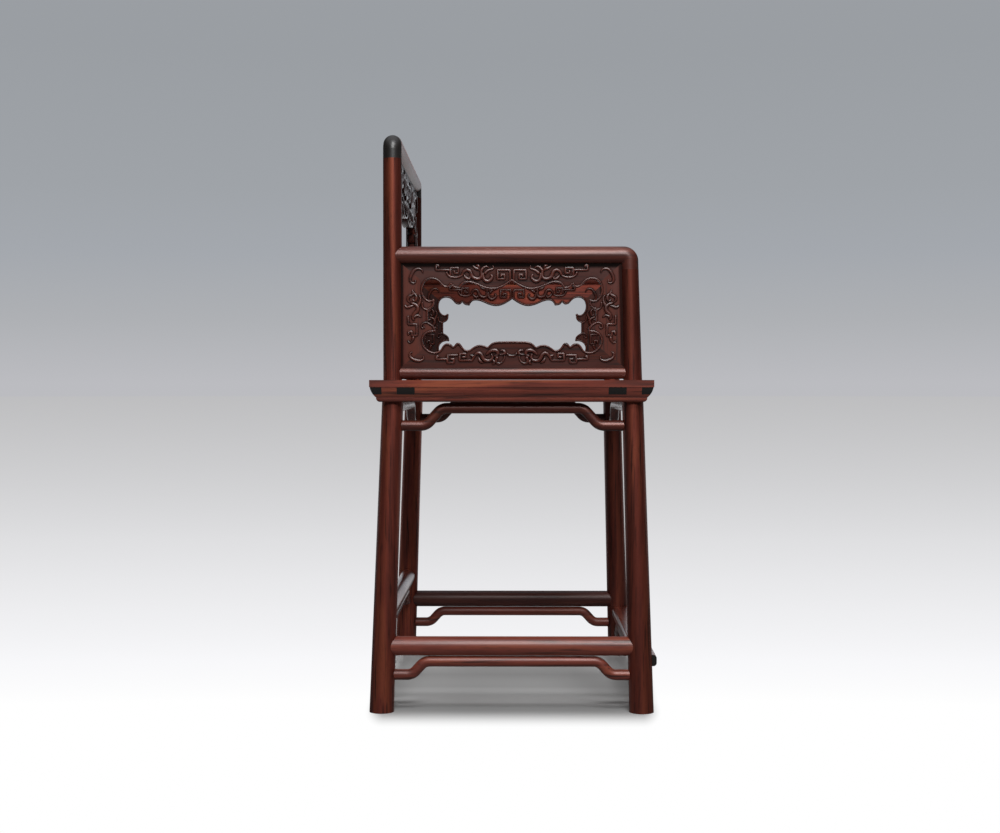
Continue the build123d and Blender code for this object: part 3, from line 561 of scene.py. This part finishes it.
# Carved relief of the back panel: the same dragons, frets and scrolls, drawn larger to fill wider
# boards and cut deeper, with rows of cloud scrolls where the window's edge leaves more wood.
CLOUD_ROW = (
    (smooth_curve, leaf, [
        (10.0, 66.0), (14.5, 71.0), (22.0, 72.0), (28.0, 68.0), (27.0, 62.5), (22.5, 61.5),
        (20.5, 65.0)]),
    (smooth_curve, leaf, [
        (28.0, 68.0), (35.0, 72.0), (43.0, 70.5), (48.5, 65.5), (46.0, 61.0), (41.0, 62.0),
        (40.5, 65.5)]),
    (smooth_curve, leaf, [
        (48.5, 65.5), (55.0, 70.5), (63.0, 71.5), (70.0, 68.0), (70.0, 63.0), (65.5, 62.5)]),
    (smooth_curve, tapering, [(70.0, 68.0), (77.0, 71.0), (85.0, 73.5)]),
)
BACK_WINDOW_SHARES = (
    [(0, 0.93), (0.07, 0.84), (0.20, 0.775), (0.36, 0.752), (0.50, 0.775), (0.62, 0.86), (0.71, 0.90),
     (0.76, 0.87), (0.778, 0.80)],
    [(0.778, 0.80), (0.812, 0.812), (0.838, 0.868)],
    [(0.838, 0.868), (0.858, 0.825), (0.888, 0.84), (0.91, 0.92), (0.945, 1.0), (0.984, 0.972),
     (1.0, 0.87), (0.984, 0.76), (0.955, 0.712), (0.922, 0.73)],
    [(0.922, 0.73), (0.920, 0.68), (0.934, 0.625), (0.962, 0.595)],
    [(0.962, 0.595), (0.962, -0.58)],
    [(0.962, -0.58), (0.935, -0.62), (0.918, -0.68), (0.918, -0.735)],
    [(0.918, -0.735), (0.96, -0.75), (0.99, -0.81), (0.996, -0.88), (0.97, -0.965), (0.93, -1.0),
     (0.893, -0.965), (0.872, -0.90), (0.845, -0.872), (0.805, -0.92)],
    [(0.805, -0.92), (0.765, -0.872), (0.735, -0.935), (0.70, -0.972), (0.63, -0.93), (0.56, -0.905),
     (0.48, -0.932)],
    [(0.48, -0.932), (0.43, -0.865), (0.35, -0.842)],
    [(0.35, -0.842), (0, -0.838)],
)
BACK_WINDOW_MIDDLE = 672.0 * MM
BACK_WINDOW_HALF = np.array((203.2, 111.0)) * MM
BACK_DEPTH = 1.5
back_low, back_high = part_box("back_panel_top")


def on_back_panel(a, b, face, out):
    """A spot of the carving, by its place on the panel and how far it stands out of a face."""
    y = back_low.y - out if face < 0 else back_high.y + out
    return (a, y, BACK_WINDOW_MIDDLE + b)


# Each drawing with its size, its shift on the grid and whether it stands upright
back_drawings = (
    (TOP_BAND, 1.7, (0, 19.2), 1),
    (CLOUD_ROW, 1.0, (0, 0), 1),
    (BOTTOM_BAND, 1.7, (0, -20.6), 1),
    (CLOUD_ROW[:2], 0.9, (0, -8.0), -1),
    (STILE_DRAGON, 1.2, (29.3, 34.0), 1),
    (STILE_DRAGON, 1.2, (29.3, -34.0), -1),
    (CORNER_SCROLLS[:1], 1.3, (23.5, 41.0), 1),
    (CORNER_SCROLLS[1:], 1.3, (23.5, -38.0), 1),
)
relief = Relief(on_back_panel)
for drawing, scale, shift, upright in back_drawings:
    relief.strokes(drawing, scale, shift, BACK_DEPTH, upright)
relief.bead(BACK_WINDOW_SHARES, BACK_WINDOW_HALF, BACK_DEPTH)
# Painted shade: the back's carving is painted nearly black, while its wax stays glossy
relief.make("back_panel_carving", rosewood(
    "back_carving_wood", "X", (0.5, 0.6, 0.1), tone=0.22, warmth=0.2, crevice_painted_shade=0.97,
    gloss=(0.06, 0.10), polish=0.16))

# Studio floor: one wide, seamless, pale sheet. Under the chair it is matt, so that the soft shadow
# lies on it. All round that it is evenly lit, white near the camera and greyer far away.
FLOOR_RADIUS = 60
FLOOR_SIDES = 128
# The lit floor fades with the distance from a spot on the camera's side, more slowly sideways
FADE_STRETCH = (1, 0.35, 0)
FADE_START = (0.9, 0, 0)
FADE_REACH = 0.73
FADE_STOPS = (
    (0.0, 0.50), (0.073, 0.585), (0.147, 0.665), (0.224, 0.74), (0.326, 0.807), (0.43, 0.857),
    (0.67, 0.939), (1.0, 1.0),
)
FADE_BLUE = 1.02
# The matt patch's half width and half depth, from where it starts to give way to where it is gone,
# and how much it leans
MATT_WIDTH = (0.248, 0.385)
MATT_DEPTH = (0.204, 0.236)
MATT_SKEW = -0.05
MATT_LEVEL = 0.75
MATT_BOUNCE = 0.45
# Painted light and shade on the patch: bands of darker and lighter paint across it, counted from its
# edge near the camera, even out the shadow that the lamps cast on it
MATT_NEAR_EDGE = 0.3
MATT_PAINTED_SHADE = (
    (0.07, 0.42), (0.10, 0.83), (0.19, 0.73), (0.23, 0.56), (0.30, 0.61), (0.34, 0.64), (0.41, 1.0))
# How much light the lit floor throws on the wood, and how bright it shows in the wax far off
LIT_BOUNCE = 0.22
MIRRORED_FLOOR = (0.8, 2.5, 0.1, 1.0)


def add_choice(tree, ray, chosen, otherwise):
    """One value for one kind of ray, and another value for all others."""
    node = add_node(tree, "Mix", {"Factor": ray, "A": otherwise, "B": chosen}, data_type="FLOAT")
    return node.outputs["Result"]


def floor_paint():
    """The floor's paint: matt under the chair and evenly lit all round it."""
    paint = bpy.data.materials.new("floor_paint")
    paint.use_nodes = True
    tree = paint.node_tree
    tree.nodes.remove(tree.nodes["Principled BSDF"])
    spot = add_node(tree, "TexCoord", {}).outputs["Object"]
    across = add_node(tree, "SeparateXYZ", {"Vector": spot}).outputs["X"]
    seen = add_node(tree, "LightPath", {}).outputs

    stretched = work_out(tree, "VectorMath", "MULTIPLY_ADD", spot, FADE_STRETCH, FADE_START)
    away = work_out(tree, "VectorMath", "LENGTH", stretched["Vector"])["Value"]
    nearness = work_out(tree, "Math", "DIVIDE", FADE_REACH, away)[0]
    pale = add_ramp(tree, nearness, [
        (position, (level, level, min(level * FADE_BLUE, 1.0))) for position, level in FADE_STOPS])
    mirrored = add_range(tree, across, *MIRRORED_FLOOR)
    thrown = add_choice(tree, seen["Is Glossy Ray"], mirrored, LIT_BOUNCE)
    strength = add_choice(tree, seen["Is Camera Ray"], 1.0, thrown)
    glow = add_node(tree, "Emission", {"Color": pale, "Strength": strength})

    level = add_choice(tree, seen["Is Camera Ray"], MATT_LEVEL, MATT_BOUNCE)
    from_edge = work_out(tree, "Math", "ADD", across, MATT_NEAR_EDGE)[0]
    shares = add_ramp(tree, from_edge, [(position, (share,) * 3) for position, share in MATT_PAINTED_SHADE])
    painted_floor_shade = work_out(tree, "Math", "MULTIPLY", level, shares)[0]
    matt = add_node(tree, "BsdfDiffuse", {"Color": painted_floor_shade})

    folded = work_out(tree, "VectorMath", "ABSOLUTE", spot)["Vector"]
    sides = add_node(tree, "SeparateXYZ", {"Vector": folded}).outputs
    skewed = work_out(tree, "Math", "MULTIPLY_ADD", across, MATT_SKEW, sides["Y"])[0]
    outside = add_node(tree, "CombineXYZ", {
        "X": add_range(tree, sides["X"], *MATT_WIDTH, bend="LINEAR"),
        "Y": add_range(tree, skewed, *MATT_DEPTH, bend="LINEAR"),
    }).outputs["Vector"]
    beyond = work_out(tree, "VectorMath", "LENGTH", outside)["Value"]
    blend = add_node(tree, "MixShader", {
        "Fac": add_range(tree, beyond, 0, 1), 1: matt.outputs["BSDF"], 2: glow.outputs["Emission"],
    })
    feed(tree, tree.nodes["Material Output"], {"Surface": blend.outputs["Shader"]})
    return paint


bpy.ops.mesh.primitive_circle_add(
    vertices=FLOOR_SIDES, radius=FLOOR_RADIUS, fill_type="NGON", location=(0, 0, 0))
floor = bpy.context.object
floor.name = "studio_floor"
floor.data.materials.append(floor_paint())

# Studio room: a soft grey backing all round, palest where the floor runs into it. The wax mirrors
# a bright wall beyond the chair and a bright ceiling. The room lights the wood hardly at all.
BACKING_STOPS = (
    (0.0, (0.500, 0.503, 0.530)), (0.04, (0.423, 0.434, 0.456)), (0.08, (0.371, 0.391, 0.423)),
    (0.12, (0.347, 0.366, 0.392)), (0.20, (0.324, 0.342, 0.366)),
)
ROOM_LIGHT = 0.03
# From where to where the wall and the ceiling brighten in the wax, and how dark and bright they are
MIRRORED_WALL = (0.80, 0.97, 0.05, 1.6)
MIRRORED_CEILING = (0.45, 1.0, 0.0, 1.8)

room = bpy.data.worlds.new("studio")
room.use_nodes = True
tree = room.node_tree
towards = add_node(tree, "TexCoord", {}).outputs["Generated"]
heading = add_node(tree, "SeparateXYZ", {"Vector": towards}).outputs
seen = add_node(tree, "LightPath", {}).outputs
mirrored_wall = add_range(tree, heading["X"], *MIRRORED_WALL)
mirrored_ceiling = add_range(tree, heading["Z"], *MIRRORED_CEILING)
mirrored = work_out(tree, "Math", "MAXIMUM", mirrored_wall, mirrored_ceiling)[0]
thrown = add_choice(tree, seen["Is Glossy Ray"], mirrored, ROOM_LIGHT)
feed(tree, tree.nodes["Background"], {
    "Color": add_ramp(tree, heading["Z"], BACKING_STOPS),
    "Strength": add_choice(tree, seen["Is Camera Ray"], 1.0, thrown),
})
bpy.context.scene.world = room

# Lamps: softboxes that face the chair's middle. Two hang high on the camera's side, one hangs
# overhead and three weak ones stand on the other sides. Only the first two show in the wax.
LAMP_AIM = Vector((0, 0, 0.5))


def softbox(name, place, size, power, in_gloss=False):
    """A large soft lamp that faces the chair's middle."""
    lamp = bpy.data.lights.new(name, "AREA")
    lamp.shape = "RECTANGLE"
    lamp.size, lamp.size_y = size
    lamp.energy = power
    box = bpy.data.objects.new(name, lamp)
    box.location = place
    box.rotation_euler = (LAMP_AIM - Vector(place)).to_track_quat("-Z", "Y").to_euler()
    box.visible_glossy = in_gloss
    bpy.context.scene.collection.objects.link(box)


softbox("key_light", (-1.9, -0.3, 2.7), size=(1.3, 0.7), power=38, in_gloss=True)
softbox("front_light", (-2.65, -0.25, 1.95), size=(1.3, 0.5), power=40, in_gloss=True)
softbox("top_light", (0, 0, 2.8), size=(0.75, 0.75), power=50)
softbox("right_light", (0.9, -2.5, 1.5), size=(1.2, 1.2), power=4)
softbox("back_left_light", (1.7, 1.9, 1.7), size=(1.2, 1.2), power=12)
softbox("back_right_light", (1.8, -1.8, 1.7), size=(1.2, 1.2), power=8)

# Camera: it stands level with the seat, a good two metres from the chair's left side and almost
# square to it, and looks a touch downwards.
CAMERA_PLACE = (-2.649, -0.0011, 0.490)
CAMERA_YAW = math.radians(0.494)
CAMERA_PITCH = math.radians(-1.184)
CAMERA_LENS = 57.67
CAMERA_SENSOR = 36
camera = bpy.data.objects.new("camera", bpy.data.cameras.new("camera"))
camera.data.sensor_width = CAMERA_SENSOR
camera.data.lens = CAMERA_LENS
camera.location = CAMERA_PLACE
sight = Vector((
    math.cos(CAMERA_PITCH) * math.cos(CAMERA_YAW),
    math.cos(CAMERA_PITCH) * math.sin(CAMERA_YAW),
    math.sin(CAMERA_PITCH),
))
camera.rotation_euler = sight.to_track_quat("-Z", "Y").to_euler()
bpy.context.scene.collection.objects.link(camera)
bpy.context.scene.camera = camera
bpy.context.scene.view_settings.view_transform = "Standard"
